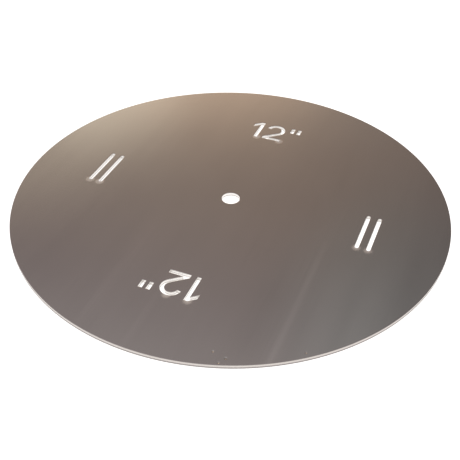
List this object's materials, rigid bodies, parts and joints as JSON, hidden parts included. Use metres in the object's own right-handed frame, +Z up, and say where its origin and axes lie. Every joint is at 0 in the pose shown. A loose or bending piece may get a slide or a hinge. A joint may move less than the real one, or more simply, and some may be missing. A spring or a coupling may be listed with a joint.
{
  "type": "circle template",
  "caption": "Flat round disc of sheet steel with a centre hole, for marking out a full circle round its rim. Its size number and grip slots are cut through the sheet.",
  "frame": {"origin": "centre of the disc's underside, on the axis of the centre hole", "axes": "+Z up through the disc's thickness, +Y towards the head of the upright size number, +X through the right-hand pair of slots"},
  "size_m": [0.3048, 0.3048, 0.0027],
  "materials": {
    "rolled_steel": "mill-finish cold-rolled sheet, satin, with a faint rolling grain and pale cut edges"
  },
  "bodies": {
    "root": {"template_disc": "rolled_steel"}
  },
  "joints": []
}
